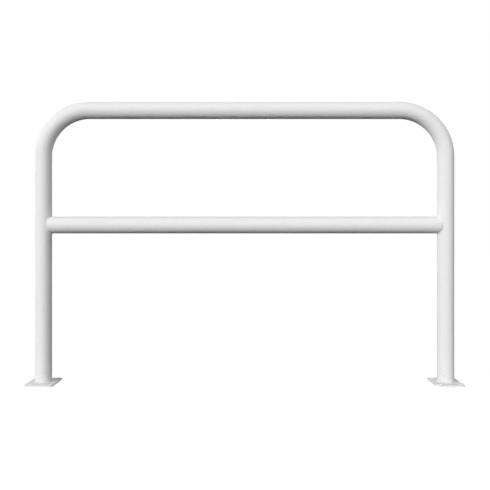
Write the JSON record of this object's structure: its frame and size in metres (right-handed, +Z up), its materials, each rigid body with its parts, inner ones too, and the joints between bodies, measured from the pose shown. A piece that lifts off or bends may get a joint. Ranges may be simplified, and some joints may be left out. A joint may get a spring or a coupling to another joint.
{
  "type": "hoop barrier with crossbar",
  "caption": "Round-tube hoop barrier with a level crossbar between its posts, on bolt-down base plates with corner holes.",
  "frame": {"origin": "on the floor, midway between the two posts, in the plane of the tubes' axes", "axes": "+X along the barrier to the right as seen from the front, +Y to the back, +Z up; the front is seen from -Y"},
  "size_m": [1.5398, 0.15, 1.006],
  "materials": {
    "coated_tube": "satin white coating with a faint fine mottling",
    "coated_plate": "satin white coating",
    "coated_weld": "satin white coating over a smooth weld"
  },
  "bodies": {
    "root": {"hoop_tube": "coated_tube", "crossbar_tube": "coated_tube", "left_base_plate": "coated_plate", "right_base_plate": "coated_plate", "left_foot_weld": "coated_weld", "right_foot_weld": "coated_weld", "left_crossbar_weld": "coated_weld", "right_crossbar_weld": "coated_weld"}
  },
  "joints": []
}
